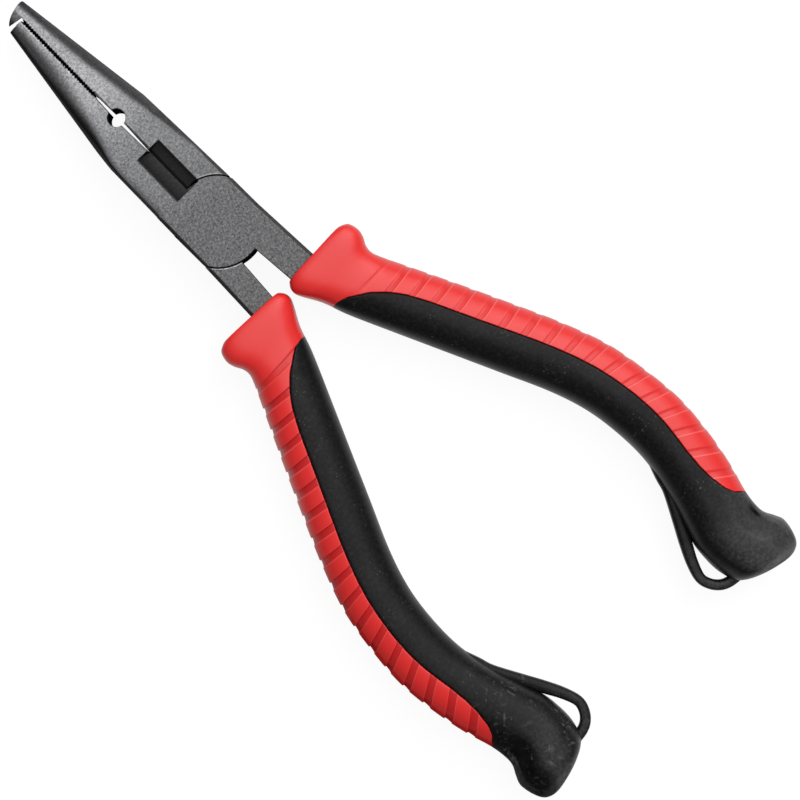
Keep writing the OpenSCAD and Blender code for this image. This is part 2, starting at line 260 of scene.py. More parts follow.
steelLook = {
    "joint": rgb(112, 112, 114), "root": rgb(166, 167, 169), "tip": rgb(216, 216, 219),
    "edge": rgb(232, 232, 234), "flank": rgb(150, 150, 152), "inner": rgb(56, 56, 57),
    "dark": (0.003, 0.003, 0.003, 1),
    # noises: scale, detail, roughness
    "grain": (2100, 3, 0.7), "fineGrain": (4410, 2, 0.6), "cloud": (160, 3, 0.6), "wear": (1500, 1),
    "grainShare": 0.62, "fineShare": 0.38, "speckle": ((0.36, 0.0), (0.5, 0.45), (0.64, 1.0)),
    "rounding": 0.3 * mm, "bump": (0.4, 0.00007), "fineBump": 0.6,
    "metallic": 0.15, "gloss": 0.25, "roughness": (-0.1, 0.6), "dull": (0.9, 0.0),
    # along the pliers: 0 is 20 mm behind the pivot, 1 lies past the tip
    "start": 0.02, "stretch": 12,
    # the jaws' closing line: mm at the pivot, mm in each metre
    "line": 0.1, "lineLean": -19.4,
    # painted highlight lines: mm from the closing line, mm outside the laps, where x times y is above a limit
    "toothEdge": 0.38, "lapRadius": 8.7, "shoulder": 0.3, "shoulderLimit": 0.000002,
    "highlightPatches": ((0.42, 0.0), (0.6, 0.7)), "shoulderSpeckle": (0.7, 0.15), "bladeSpeckle": (0.6, 0.7),
    "shares": {"cloud": 0.2, "pits": 0.66, "glints": 0.14, "hook": 0.66, "cutter": 0.3, "slit": 0.95},
    "along": {
        "root": ((0.28, 0.0), (0.35, 0.36), (0.53, 0.96)), "arms": ((0.08, 0.12), (0.2, 0.0)),
        "tip": ((0.53, 0.0), (0.64, 1.0)), "teeth": ((0.66, 0.0), (0.7, 1.0), (0.88, 1.0), (0.885, 0.0)),
        "hook": ((0.886, 0.0), (0.891, 1.0)), "cutter": ((0.33, 0.0), (0.336, 1.0), (0.47, 1.0), (0.475, 0.0)),
        "slit": ((0.466, 0.0), (0.47, 1.0), (0.545, 0.85), (0.55, 0.0),
                 (0.588, 0.0), (0.592, 0.6), (0.648, 0.85), (0.652, 0.0)),
    },
    "across": {
        "teeth": ((0.1, 1.0), (0.3, 0.0)), "shoulder": ((0.1, 1.0), (0.24, 0.0)), "hook": ((0.6, 1.0), (0.78, 0.0)),
        "cutter": ((0.25, 1.0), (0.28, 0.0)), "inner": ((0.19, 1.0), (0.23, 0.0)),
        "hookedEdge": ((0.56, 1.0), (0.68, 0.0)), "plainEdge": ((0.4, 0.3), (0.6, 0.0)),
    },
    "level": {
        "shoulder": ((0.8, 0.0), (0.95, 1.0)), "cutter": ((0.6, 1.0), (0.9, 0.0)),
        "inner": ((0.25, 1.0), (0.45, 0.0)), "dull": ((0.7, 1.0), (0.95, 0.0)),
    },
    "slope": ((0.15, 0.0), (0.4, 1.0)), "endOn": ((0.3, 1.0), (0.8, 0.25)),
    # shade against the sideways lean of a face: left flank, flat, right flank
    "lean": ((0.0, 0.25), (0.05, 0.11), (0.075, 0.03), (0.125, 0.055), (0.175, 0.1), (0.225, 0.16),
             (0.275, 0.24), (0.35, 0.42), (0.4, 0.6), (0.45, 0.82), (0.5, 1.0), (0.56, 0.93), (0.65, 0.45),
             (0.75, 0.19), (0.81, 0.14), (0.875, 0.115), (0.925, 0.137), (1.0, 0.236)),
    # shade of the cutter's bevels across the recess
    "blade": ((0.26, 0.02), (0.3, 0.027), (0.34, 0.038), (0.38, 0.048), (0.42, 0.067), (0.46, 0.1), (0.5, 0.15),
              (0.52, 0.03), (0.55, 0.03), (0.575, 0.084), (0.62, 0.078), (0.66, 0.065), (0.7, 0.057), (0.75, 0.03)),
}


def makeSteel():
    look, shares = steelLook, steelLook["shares"]
    steel = Finish(bpy.data.materials.new("blastedSteel"))
    x, y = steel.axes(steel.place())[:2]
    rounded = steel.add("ShaderNodeBevel", {"samples": 8}, {"Radius": look["rounding"]})
    own = steel.add("ShaderNodeVectorTransform",
                    {"vector_type": "NORMAL", "convert_from": "WORLD", "convert_to": "OBJECT"}, {0: rounded})
    leanX, leanY = steel.axes(own)[:2]
    level = steel.levelness()
    along = (y + look["start"]) * look["stretch"]
    aside = x * 1000 + look["line"] + y * look["lineLean"]  # mm right of the closing line
    away = steel.size(aside) * 0.1
    grain = steel.noise(*look["grain"])
    fine = steel.noise(*look["fineGrain"])
    cloud = steel.noise(*look["cloud"])
    speckle = steel.ramp(grain * look["grainShare"] + fine * look["fineShare"], look["speckle"])

    def alongRamp(name):
        return steel.ramp(along, look["along"][name])

    def levelRamp(name):
        return steel.ramp(level, look["level"][name])

    # pitted flats, paler towards the tip
    base = steel.mix(alongRamp("root"), look["joint"], look["root"])
    base = steel.mix(alongRamp("arms"), base, look["dark"])
    base = steel.mix(alongRamp("tip"), base, look["tip"])
    base = steel.mix(cloud * shares["cloud"], base, look["joint"])
    base = steel.mix(speckle, steel.mix(shares["pits"], base, look["dark"]),
                     steel.mix(shares["glints"], base, look["edge"]))
    # flanks, shaded by their lean
    slope = steel.ramp(steel.size(leanX), look["slope"])
    base = steel.mix(slope, base, steel.mix(speckle, look["flank"], look["tip"]))
    lean = steel.mix(1.0, steel.ramp(steel.centred(leanX, 0.5), look["lean"]),
                     steel.ramp(leanY * leanY, look["endOn"]), "MULTIPLY")
    base = steel.mix(1.0, base, lean, "MULTIPLY")
    # painted highlight lines: the plain jaw's tooth edges, and the shoulders round the laps
    toothHighlight = steel.ramp(steel.size(aside + look["toothEdge"]), look["across"]["teeth"]) * alongRamp("teeth")
    base = steel.mix(toothHighlight * steel.ramp(steel.noise(*look["wear"]), look["highlightPatches"]), base, look["edge"])
    reach = (x * x + y * y) ** 0.5 * 1000
    outside = steel.size(reach - look["lapRadius"] - look["shoulder"])
    shoulder = steel.ramp(outside, look["across"]["shoulder"]) * levelRamp("shoulder")
    shoulder = shoulder * (x * y > look["shoulderLimit"])
    base = steel.mix(shoulder * steel.scaled(speckle, look["shoulderSpeckle"]), base, look["edge"])
    # painted shade on the hook, and in the cutter's recess with its bevels
    hook = alongRamp("hook") * steel.ramp(steel.centred(aside, 0.5), look["across"]["hook"])
    base = steel.mix(hook * shares["hook"], base, look["dark"])
    cutter = steel.ramp(away, look["across"]["cutter"]) * levelRamp("cutter")
    base = steel.mix(cutter * shares["cutter"], base, look["dark"])
    blade = steel.ramp(steel.centred(aside, 0.1), look["blade"]) * steel.scaled(speckle, look["bladeSpeckle"])
    base = steel.mix(cutter * alongRamp("cutter"), base, blade)
    # shaded edges along the slit: deep on the hooked jaw, faint on the plain one
    hookedEdge = steel.ramp(aside, look["across"]["hookedEdge"]) * (aside > 0)
    plainEdge = steel.ramp(aside * -1, look["across"]["plainEdge"]) * (aside * -1 > 0)
    base = steel.mix(alongRamp("slit") * (hookedEdge + plainEdge) * shares["slit"], base, look["dark"])
    # the closing faces, painted dark as the shade between the jaws
    inner = steel.ramp(away, look["across"]["inner"]) * levelRamp("inner")
    base = steel.mix(inner, base, steel.mix(speckle, look["dark"], look["inner"]))
    normal = steel.bump(grain + fine * look["fineBump"], *look["bump"], rounded)
    steel.set(Base_Color=base, Metallic=look["metallic"], Specular_IOR_Level=look["gloss"], Normal=normal,
              Roughness=steel.scaled(speckle, look["roughness"]))
    # flanks and slits are dull
    steel.addDull(levelRamp("dull"), base, *look["dull"], normal)
    return steel


redLook = {
    "face": rgb(237, 48, 46), "groove": rgb(196, 27, 30), "highlight": rgb(250, 112, 106),
    "cloud": (90, 2), "grain": (3200, 2, 0.6),  # noises: scale, detail, roughness
    "cloudShare": 0.14, "bump": (0.12, 0.00003), "gloss": 0.42, "roughness": (0.1, 0.33),
    # the left back's flank is duller towards its end, and darker there as painted shade
    "left": ((0.55, 0.0), (0.65, 1.0)), "far": ((0.48, 0.0), (0.74, 1.0)), "flank": ((0.5, 1.0), (0.85, 0.15)),
    "dullShadeShare": 0.3, "dull": (0.8, 0.05),
}


def makeRed():
    look = redLook
    red = Finish(bpy.data.materials.new("satinRed"))
    x, y = red.axes(red.place())[:2]
    groove = red.attribute("groove")  # painted shade, positive in a groove; painted highlight, negative on a rib's edge
    cloud = red.noise(*look["cloud"])
    grain = red.noise(*look["grain"])
    base = red.mix(groove, look["face"], look["groove"])
    base = red.mix(groove * -1, base, look["highlight"])
    base = red.mix(cloud * look["cloudShare"], base, look["groove"])
    normal = red.bump(grain, *look["bump"])
    red.set(Base_Color=base, Specular_IOR_Level=look["gloss"], Normal=normal,
            Roughness=red.scaled(cloud, look["roughness"]))
    # painted shade: the left back's outer flank is darker towards its end
    far = red.ramp(red.centred(x, -10), look["left"]) * red.ramp(y * -10, look["far"])
    flank = red.ramp(red.levelness(), look["flank"])
    red.addDull(far * flank, red.mix(look["dullShadeShare"], base, look["groove"]), *look["dull"], normal)
    return red


blackLook = {
    "face": rgb(20, 20, 21), "deep": rgb(12, 12, 13), "shade": rgb(6, 6, 7),
    "dust": rgb(150, 150, 150), "dustAndLight": rgb(82, 82, 82), "highlight": rgb(132, 132, 130),
    # noises: scale, detail, roughness
    "grain": (2600, 3, 0.6), "cloud": (120, 3, 0.55), "mottle": (1500, 3, 0.7), "patches": (230, 3, 0.6),
    "speckShades": (700, 1), "scratches": (1500, 1, 0.5), "scratchPatches": (260, 2),
    "specks": 1300, "scratchTurns": (0.3, 1.2, 2.3), "scratchShape": (1, 5, 1),
    "mottled": ((0.42, 0.0), (0.68, 1.0)), "speckSize": ((0.1, 1.0), (0.26, 0.0)),
    "speckPatches": ((0.5, 0.0), (0.66, 1.0)), "scratchLines": ((0.64, 0.0), (0.74, 1.0)),
    "scratched": ((0.45, 0.0), (0.6, 1.0)), "level": ((0.8, 0.0), (0.96, 1.0)),
    # along the handles, 1 at 125 mm behind the pivot
    "dustyEnd": ((0.84, 0.0), (0.93, 1.0)), "scratchedEnd": ((0.72, 0.0), (0.8, 1.0)),
    "heel": ((0.79, 0.0), (0.86, 1.0)),
    # across the pliers, 0.5 in the middle
    "dustAndShadeSides": ((0.3, 0.6), (0.7, 1.0)), "rimSides": ((0.3, 0.5), (0.7, 1.0)),
    "scratchedSide": ((0.6, 0.0), (0.7, 1.0)), "outerHeel": ((0.76, 0.0), (0.8, 1.0)),
    "outwards": ((0.05, 0.0), (0.35, 1.0)),
    "shares": {"mottle": 0.13, "cloud": 0.3, "specks": 0.4, "scratches": 0.2, "dim": 0.85, "shade": 0.5},
    "cloudDust": 0.7, "mottleDust": 0.5, "rimMottle": (0.5, 0.5), "paleMottle": (0.3, 0.4),
    "bump": (0.18, 0.00005), "cloudBump": 1.5, "gloss": 0.14, "roughness": (0.2, 0.32), "dull": (0.9, 0.02),
}


def makeBlack():
    look, shares = blackLook, blackLook["shares"]
    black = Finish(bpy.data.materials.new("gripRubber"))
    place = black.place()
    x, y = black.axes(place)[:2]
    along, right, left = y * -8, black.centred(x, 10), black.centred(x, -10)
    grain = black.noise(*look["grain"])
    cloud = black.noise(*look["cloud"])
    mottle = black.ramp(black.noise(*look["mottle"]), look["mottled"])
    # specks of dust, in patches
    spots = black.add("ShaderNodeTexVoronoi", {"feature": "F1"},
                      {"Vector": place, "Scale": look["specks"], "Randomness": 1.0}, "Distance")
    patches = black.ramp(black.noise(*look["patches"]), look["speckPatches"])
    specks = black.ramp(spots, look["speckSize"]) * patches * black.noise(*look["speckShades"])
    # short scratches near the end of the left grip
    streaks = 0
    for turn in look["scratchTurns"]:
        laid = black.add("ShaderNodeMapping", {"vector_type": "TEXTURE"}, {
            "Vector": place, "Location": (turn, turn, turn), "Rotation": (0, 0, turn), "Scale": look["scratchShape"]})
        streaks = black.ramp(black.noise(*look["scratches"], laid), look["scratchLines"]) + streaks
    streaks = streaks * black.ramp(black.noise(*look["scratchPatches"]), look["scratched"])
    streaks = streaks * black.ramp(left, look["scratchedSide"]) * black.ramp(along, look["scratchedEnd"])
    # dust on the level faces of the ends, weaker on the left grip as painted shade, and painted highlights on the rims
    end = black.ramp(along, look["dustyEnd"]) * black.ramp(right, look["dustAndShadeSides"])
    level = black.ramp(black.levelness(), look["level"])
    dust = cloud * look["cloudDust"] + mottle * look["mottleDust"]
    base = black.mix(level * end * dust, look["face"], look["dustAndLight"])
    # painted highlight on the rims, weaker on the left grip
    rim = black.attribute("rim") * black.ramp(right, look["rimSides"])
    base = black.mix(rim * black.scaled(mottle, look["rimMottle"]), base, look["highlight"])
    base = black.mix(mottle * shares["mottle"], base, look["dustAndLight"])
    # outer side of the heel: painted light on the right grip, painted shade, dull and dark, on the left one
    heel = black.ramp(along, look["heel"])
    leanX = black.axes(black.add("ShaderNodeTexCoord", output="Normal"))[0]
    pale = heel * black.ramp(right, look["outerHeel"]) * black.ramp(leanX, look["outwards"])
    dim = heel * black.ramp(left, look["outerHeel"]) * black.ramp(leanX * -1, look["outwards"])
    base = black.mix(pale * black.scaled(mottle, look["paleMottle"]), base, look["dustAndLight"])
    base = black.mix(cloud * shares["cloud"], base, look["deep"])
    base = black.mix(specks * shares["specks"], base, look["dust"])
    base = black.mix(streaks * shares["scratches"], base, look["dust"])
    normal = black.bump(grain + cloud * look["cloudBump"], *look["bump"])
    black.set(Base_Color=base, Specular_IOR_Level=look["gloss"], Normal=normal,
              Roughness=black.scaled(cloud, look["roughness"]))
    black.addDull(dim * shares["dim"], black.mix(shares["shade"], base, look["shade"]), *look["dull"], normal)
    return black


steelFinish = makeSteel()
redFinish = makeRed()
blackFinish = makeBlack()
print("finishes made")

# Forgings: the CAD shapes, merged, with the nose's edges softened and the jaws' line opened, in mm

frontHalf = {
    "name": "frontForging", "body": "front_body", "jaw": -1,
    # rim of the rivet's countersink
    "rimRadius": 4.2, "rimZ": 10.99, "rimSlack": 0.03,
    # left flank past the joint, and how far it moves out
    "flankFrom": 12.1, "flankStart": 12.15, "cutterEnd": 19.6, "flankInset": 2, "flankX": -4.5, "flankShift": -1.6,
}
rearHalf = {"name": "rearForging", "body": "rear_body", "jaw": 1}
rivet = {"name": "pivotRivet", "body": "front_body", "cut": 9.5}
forgings = {"front_half": frontHalf, "rear_half": rearHalf, "pivot_rivet": rivet}
steelEdges = {"flat": 0.3, "smooth": 24}  # degrees

nose = {
    "length": 56.7, "root": 10.8, "tip": 2.7, "line": -0.1, "lean": 1.1, "thick": 11, "tipThick": 4.8, "thinning": 28,
    "relief": 0.5, "reliefStart": (16, 26), "reliefEnd": (30, 42),
    "slack": 0.02, "trim": 0.03, "trimStart": (9, 13), "jointRoom": 6, "jointEnd": (4, 8),
    "squareness": 18, "leftSquareness": 5, "softening": (26, 46), "softSide": (0, 0.8),
    # the left flank: its swell, where it starts, its reach from the closing line and how steep it stands
    "leftSwell": 0.22, "swellStart": (20, 27), "leftFrom": 8.5, "leftReach": 7.36, "leftMiddle": 22, "leftTaper": 0.02,
    "leftRoom": 4, "leftEnd": (25, 30), "steep": 1.1, "steepEnd": (18, 26.5), "flatter": 0.17, "flatterStart": (24, 33),
    "sides": 160, "jointSteps": (-130, -40, 0, 4, 6, 8), "firstStep": 9, "step": 0.8, "steps": 62,
}

jaws = {
    "from": 5, "lowest": -0.03, "highest": 0.3,  # where the closing faces are: y, and gap to the line
    "touch": -0.002, "touchDepth": 0.05, "closed": 0.03,
    "teethFrom": 33.9, "peakOpen": 0.16, "rootOpen": 0.2, "runInFrom": 33, "runInOpen": 0.15,
    "slitFrom": 19.5, "outerSlitFrom": 18.9, "outerDepth": 1, "upperFrom": 28, "upperOpen": 0.1, "lowerOpen": 0.06,
}


def copyNode(node):
    piece = bpy.data.objects.new(forgings[node]["name"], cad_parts[node].data.copy())
    bpy.context.scene.collection.objects.link(piece)
    activate(piece)
    bpy.ops.mesh.customdata_custom_splitnormals_clear()
    edit(piece)
    bpy.ops.mesh.remove_doubles(threshold=nodeWeld)
    return piece


def selectWhere(piece, test):
    # vertices that pass the test, in mm
    edit(piece)
    bpy.ops.mesh.select_all(action="DESELECT")
    bpy.ops.mesh.select_mode(type="VERT")
    bpy.ops.object.mode_set(mode="OBJECT")
    for vertex in piece.data.vertices:
        vertex.select = test(vertex.co / mm)
    bpy.ops.object.mode_set(mode="EDIT")


def lineAt(y):
    # x of the jaws' closing line
    return nose["line"] + nose["lean"] * y / nose["length"]


def noseRing(y):
    # section of the nose: a circle flattened front and back, with soft corners
    wide = nose["root"] + (nose["tip"] - nose["root"]) * max(0, y) / nose["length"]
    thin = min(1, max(0, (y - nose["length"] + nose["thinning"]) / nose["thinning"]))
    high = nose["thick"] / 2 + (nose["tipThick"] - nose["thick"]) / 2 * thin
    high -= nose["relief"] * smoothStep(*nose["reliefStart"], y) * (1 - smoothStep(*nose["reliefEnd"], y))
    slack = nose["slack"] - nose["trim"] * smoothStep(*nose["trimStart"], y)
    wide, high = wide + slack + nose["jointRoom"] * (1 - smoothStep(*nose["jointEnd"], y)), high + slack
    # the left flank stands steeper at its root
    side = tall = wide + nose["leftSwell"] * smoothStep(*nose["swellStart"], y)
    if y > nose["leftFrom"]:
        side = min(side, nose["leftReach"] + lineAt(y) + (nose["leftMiddle"] - y) * nose["leftTaper"]
                   + nose["leftRoom"] * smoothStep(*nose["leftEnd"], y))
        steep = nose["steep"] + (1 - smoothStep(*nose["steepEnd"], y))
        tall = side * (steep - nose["flatter"] * smoothStep(*nose["flatterStart"], y))
    softer = (nose["leftSquareness"] - nose["squareness"]) * smoothStep(*nose["softening"], y)
    ring = []
    for i in range(nose["sides"]):
        angle = 2 * pi * i / nose["sides"]
        left = max(0, -cos(angle))
        power = nose["squareness"] + softer * smoothStep(*nose["softSide"], left)
        a, b = (side, tall) if left else (wide, wide)
        flank = sqrt((cos(angle) / a) ** 2 + (sin(angle) / b) ** 2)
        reach = (flank ** power + (abs(sin(angle)) / high) ** power) ** (-1 / power)
        ring.append(Vector((lineAt(y) + reach * cos(angle), y, midZ + reach * sin(angle))))
    return ring


def makeNoseShape():
    steps = list(nose["jointSteps"]) + [nose["firstStep"] + nose["step"] * i for i in range(nose["steps"])]
    return wrap("noseShape", [noseRing(y) for y in steps])


def openedGap(point, gap):
    # gap to the closing line that a point of a closing face gets
    depth = abs(point.z - midZ)
    if point.y > jaws["teethFrom"]:
        if depth < jaws["touchDepth"]:
            return jaws["touch"]
        return gap + (jaws["peakOpen"] if gap < jaws["closed"] else jaws["rootOpen"])
    if point.y > jaws["runInFrom"]:
        return gap + jaws["runInOpen"]
    if point.y > jaws["slitFrom"] or (point.y > jaws["outerSlitFrom"] and depth > jaws["outerDepth"]):
        return max(gap, jaws["closed"]) + (jaws["upperOpen"] if point.y > jaws["upperFrom"] else jaws["lowerOpen"])
    return gap if gap > jaws["closed"] else jaws["touch"]


def openJaw(piece, side):
    # closed jaws touch at half depth, and leave a dark toothed line in front and at the back
    edit(piece)
    bpy.ops.mesh.bisect(plane_co=(0, 0, midZ * mm), plane_no=(0, 0, 1))
    bpy.ops.object.mode_set(mode="OBJECT")
    for vertex in piece.data.vertices:
        point = vertex.co / mm
        gap = side * (point.x - lineAt(point.y))
        if point.y >= jaws["from"] and jaws["lowest"] < gap < jaws["highest"]:
            vertex.co.x += side * (openedGap(point, gap) - gap) * mm
    bpy.ops.object.mode_set(mode="EDIT")


def onCountersink(point):
    radius = sqrt(point.x * point.x + point.y * point.y)
    return point.z > frontHalf["rimZ"] and abs(radius - frontHalf["rimRadius"]) < frontHalf["rimSlack"]


def onLeftFlank(point):
    inner = lineAt(point.y) - frontHalf["flankInset"] if point.y > frontHalf["cutterEnd"] else frontHalf["flankX"]
    return point.y > frontHalf["flankStart"] and point.x < inner


def prepareFrontHalf(piece):
    # the rivet's front end is blasted over with the joint
    selectWhere(piece, onCountersink)
    bpy.ops.mesh.merge(type="CENTER")
    # past the joint the nose shape alone cuts the left flank
    bpy.ops.mesh.select_all(action="SELECT")
    bpy.ops.mesh.bisect(plane_co=(0, frontHalf["flankFrom"] * mm, 0), plane_no=(0, 1, 0))
    selectWhere(piece, onLeftFlank)
    bpy.ops.transform.translate(value=(frontHalf["flankShift"] * mm, 0, 0))


def makeForging(node):
    piece = copyNode(node)
    if node == "front_half":
        prepareFrontHalf(piece)
    openJaw(piece, forgings[node]["jaw"])
    bpy.ops.mesh.select_all(action="SELECT")
    bpy.ops.mesh.dissolve_limited(angle_limit=radians(steelEdges["flat"]))
    shape = makeNoseShape()
    applyModifier(piece, "BOOLEAN", operation="INTERSECT", object=shape, solver="EXACT")
    bpy.data.objects.remove(shape)
    edit(piece)
    bpy.ops.mesh.remove_doubles(threshold=meshWeld)
    bpy.ops.mesh.dissolve_degenerate(threshold=meshWeld)
    bpy.ops.object.mode_set(mode="OBJECT")
    return piece


def makeRivet(node):
    # only the back end shows
    piece = copyNode(node)
    bpy.ops.mesh.bisect(plane_co=(0, 0, rivet["cut"] * mm), plane_no=(0, 0, 1), clear_outer=True, use_fill=True)
    return piece


for node in forgings:
    forged = makeRivet(node) if node == "pivot_rivet" else makeForging(node)
    smoothByAngle(forged, steelEdges["smooth"])
    settle(forged, forgings[node]["body"], "steel", steelFinish, node)
print("forgings made")

# Handles: drawn for the right side as stations from the guard's front to the end, in mm.
# A row is outer edge x, y, inner edge x, y and thickness. Every y is from the guard's front.

handle = {
    "rows": (
        (15.6, 0, 1.5, -0.6, 13.6), (17.2, -0.9, 0.7, -1.7, 13.9), (17.8, -2.8, 0.6, -2.9, 13.9),
        (17.5, -4.5, 1.3, -4.5, 13.7), (16.7, -6.1, 2.3, -6.3, 13.4), (16.5, -7.6, 3.4, -8.6, 13.1),
        (17.1, -9.4, 4.9, -12.9, 12.9), (19.4, -14.2, 8, -20, 12.8), (24.1, -24.1, 12.6, -30.3, 12.8),
        (28.7, -34.1, 17.5, -41.3, 12.8), (32.7, -43.2, 21.3, -49.8, 12.8), (35.9, -52.2, 23.6, -56.4, 12.8),
        (37.5, -61, 24.8, -62.3, 12.8), (38.2, -69.5, 25.3, -69.3, 12.8), (37.5, -77.5, 24.9, -75, 12.8),
        (36.2, -84.5, 23.5, -81.3, 13), (34.5, -90.5, 21.6, -87, 13.6), (34, -94, 20.3, -91, 13.9),
        (34.2, -96, 19.9, -94.5, 14.6), (35.2, -98, 19.9, -97.2, 15.1), (35.8, -99.8, 20.3, -99.4, 15.2),
        (35.3, -102.6, 21, -101.3, 14.9), (34.2, -104.6, 22.6, -102.7, 13.8), (32.2, -105.5, 25, -103.8, 11.8)),
    "front": -16.9, "smooth": 40,
    # squareness of the oval section, along the grip and at the guard's front, and the station where it settles
    "power": 2.5, "guardPower": 5.5, "guardEnd": 6.5,
    # where red meets black: station, share of the width from the outer edge
    "parting": (
        (5.38, 1.02), (5.42, 0.9), (5.55, 0.82), (5.9, 0.715), (6.31, 0.584), (6.84, 0.475), (7.2, 0.425),
        (7.6, 0.405), (8.4, 0.405), (9.3, 0.395), (10.3, 0.397), (11.2, 0.407), (12.1, 0.408), (12.7, 0.422),
        (13.4, 0.445), (14.06, 0.455), (14.6, 0.43), (15.06, 0.372), (15.5, 0.276), (15.83, 0.151),
        (16.03, 0.013), (16.3, -0.2)),
    "partingSlope": 3,  # share gained for each station in front of the first
    "seam": 0.05,  # half the gap between red and black
    # rounded edge at the seam: shares of its radius, across and down
    "fillet": ((0.6, 0.03), (0.35, 0.12), (0.17, 0.27), (0.07, 0.45), (0.0, 0.75)),
    "tableEnd": 17, "tableSteps": 100,  # table of the back's length: last station, steps for each station
}

guard = {
    "front": ((0, 0.4, 0), (0.05, 0.16, 0), (0.14, 0.04, 0), (0.3, 0, 0)),  # station, depth, painted shade
    "start": 0.5, "step": 0.2, "rows": 29,
    "innerShare": 0.995, "innerDrop": 0.21, "innerEnd": (5, 6.29), "innerPoints": 5,
}

ribs = {
    "count": 18, "first": 1.7, "pitch": 4.2, "growth": 0.06, "width": 0.64, "slant": 22, "start": 6.5,
    # shadePaint: strength of the painted shade in the grooves, much stronger on the left back; highlightLines: strength
    # of the painted highlight on the ribs' edges
    "depth": {"right": 0.15, "left": 0.3}, "shadePaint": {"right": 0.22, "left": 0.9}, "wall": {"right": 0.55, "left": 0.16},
    "fade": {"right": 0.25, "left": 0.55}, "highlightLines": {"right": 0.9, "left": 0.5},
    "firstGroove": -1.0, "guardMargin": 0.35, "margin": 0.3, "spacing": 0.6, "tailEnd": 16.6, "tailRows": 9,
    "slantStart": (0.8, 6.2), "slantStep": 0.2, "slowest": 2, "halvings": 40,
    "rounding": 0.22, "points": 30, "innerFade": 0.25, "fadeFrom": 0.55, "fadeStation": 6,
}


def station(t):
    return splineAt(handle["rows"], t)


def partingShare(t):
    points = handle["parting"]
    if t <= points[0][0]:
        return points[0][1] + (points[0][0] - t) * handle["partingSlope"]
    for (t0, f0), (t1, f1) in zip(points, points[1:]):
        if t <= t1:
            return f0 + (f1 - f0) * (t - t0) / (t1 - t0)
    return points[-1][1]


def width(t):
    row = station(t)
    return sqrt((row[0] - row[2]) ** 2 + (row[1] - row[3]) ** 2)


def squareness(t):
    return handle["power"] + (handle["guardPower"] - handle["power"]) * max(0, 1 - (t / handle["guardEnd"]) ** 2)


def skin(t, across, side, sink=0.0, drop=0.0):
    # point on the handle: across runs from the outer edge to the inner one, sink shrinks the section
    row = station(t)
    c = 1 - 2 * min(1, max(0, across))
    dx, dy = row[0] - row[2], row[1] - row[3]
    w = sqrt(dx * dx + dy * dy)
    a, b = w / 2 - sink, row[4] / 2 - sink
    power = squareness(t)
    x = (row[0] + row[2]) / 2 + dx / w * a * c
    y = (row[1] + row[3]) / 2 + handle["front"] + dy / w * a * c
    z = max(0, b * (1 - abs(c) ** power) ** (1 / power) - drop)
    return Vector((x, y, midZ + side * z))


def measureBack():
    # station and distance along the back
    table, last, distance = [], skin(0, 0, 1), 0
    for step in range(handle["tableEnd"] * handle["tableSteps"] + 1):
        t = step / handle["tableSteps"]
        point = skin(t, 0, 1)
        distance += (point - last).length
        table.append((t, distance))
        last = point
    return table


backTable = measureBack()
backStart = next(distance for t, distance in backTable if t >= ribs["start"])


def stationAt(distance):
    goal = distance + backStart
    for (t0, d0), (t1, d1) in zip(backTable, backTable[1:]):
        if d1 >= goal:
            return t0 + (t1 - t0) * (goal - d0) / (d1 - d0)
    return backTable[-1][0]


def ribEdges():
    # start and end of each rib along the back
    edges = []
    for i in range(ribs["count"]):
        middle = ribs["first"] + i * ribs["pitch"] + i * i * ribs["growth"] / 2
        half = (ribs["pitch"] + i * ribs["growth"]) * ribs["width"] / 2
        edges.append((middle - half, middle + half))
    return edges


def grooveRows(start, end, side, strength):
    # steep wall behind a rib, then a gentle rise to the next one: distance, depth, and painted shade, negative for a
    # painted highlight on a rib's edge
    span, wall, depth = end - start, ribs["wall"][side], ribs["depth"][side] * strength
    profile = (
        (-0.3, 0, 0), (-0.07, 0, -0.2), (0.03, 0.12, 0), (wall * 0.6, 0.8, 1), (wall, 1, 1.15), (wall + 0.12, 1, 1.1),
        (span * 0.5, 0.86, 0.9), (span * 0.75, 0.68, 0.8), (span - 0.16, 0.5, 0.5), (span - 0.06, 0.14, -0.8),
        (span + 0.06, 0, -0.9), (span + 0.16, 0, -0.1), (span + 0.3, 0, 0))
    return [(stationAt(start + along), deep * depth, shade * strength * ribs["shadePaint" if shade > 0 else "highlightLines"][side])
            for along, deep, shade in profile]


def backRows(side):
    # station, depth and painted shade of every row of points on the red back, from the guard to the tail
    edges = ribEdges()
    grooves = [(ribs["firstGroove"], edges[0][0])] + [(a[1], b[0]) for a, b in zip(edges, edges[1:])]
    rows = list(guard["front"]) + [(guard["start"] + guard["step"] * i, 0, 0) for i in range(guard["rows"])]
    guardEnd = stationAt(ribs["firstGroove"] - ribs["guardMargin"])
    rows = [row for row in rows if row[0] < guardEnd]
    for k, (start, end) in enumerate(grooves):
        rows += grooveRows(start, end, side, ribs["fade"][side] if k == 0 else 1)
        # the rib's top
        first = end + ribs["margin"]
        last = grooves[k + 1][0] - ribs["margin"] if k + 1 < len(grooves) else edges[-1][1]
        count = max(2, int((last - first) / ribs["spacing"]))
        rows += [(stationAt(first + (last - first) * (i + 1) / (count + 1)), 0, 0) for i in range(count)]
    tail, count = rows[-1][0], ribs["tailRows"]
    rows += [(tail + (ribs["tailEnd"] - tail) * (i + 1) / count, 0, 0) for i in range(count)]
    return rows


